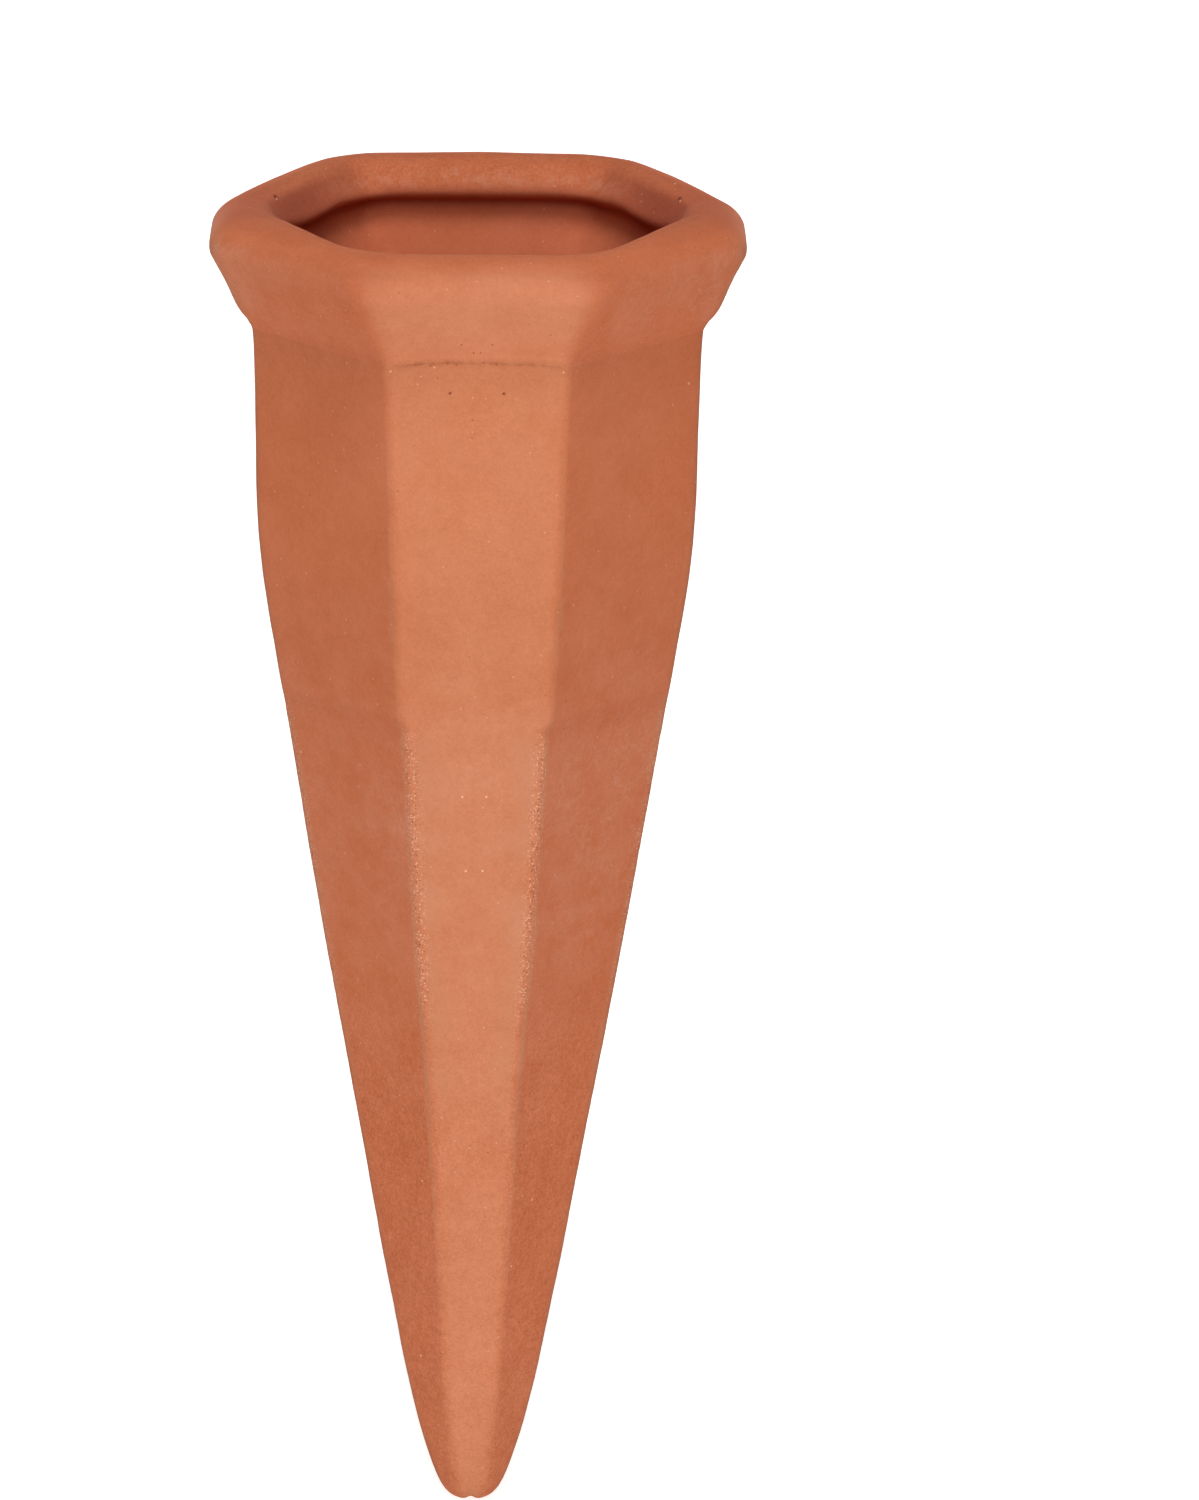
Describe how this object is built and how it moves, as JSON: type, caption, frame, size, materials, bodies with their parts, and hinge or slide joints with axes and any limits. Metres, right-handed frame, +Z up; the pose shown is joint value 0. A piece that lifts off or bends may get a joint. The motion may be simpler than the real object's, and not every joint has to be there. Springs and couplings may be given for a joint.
{
  "type": "self watering spike",
  "caption": "Hollow fired-clay watering stake with flat tapering sides, a bullet nose and a flared funnel mouth; water seeps through its porous wall into the soil.",
  "frame": {"origin": "on the axis at the soil line, the plane of the collar's foot", "axes": "+Z up along the axis, out of the soil through the mouth; -Y is the front, the middle of a flat side"},
  "size_m": [0.07, 0.07, 0.1786],
  "materials": {
    "terracotta": "unglazed fired clay, matte, fine sandy grain"
  },
  "bodies": {
    "root": {"funnel_collar": "terracotta", "spike_body": "terracotta"}
  },
  "joints": []
}
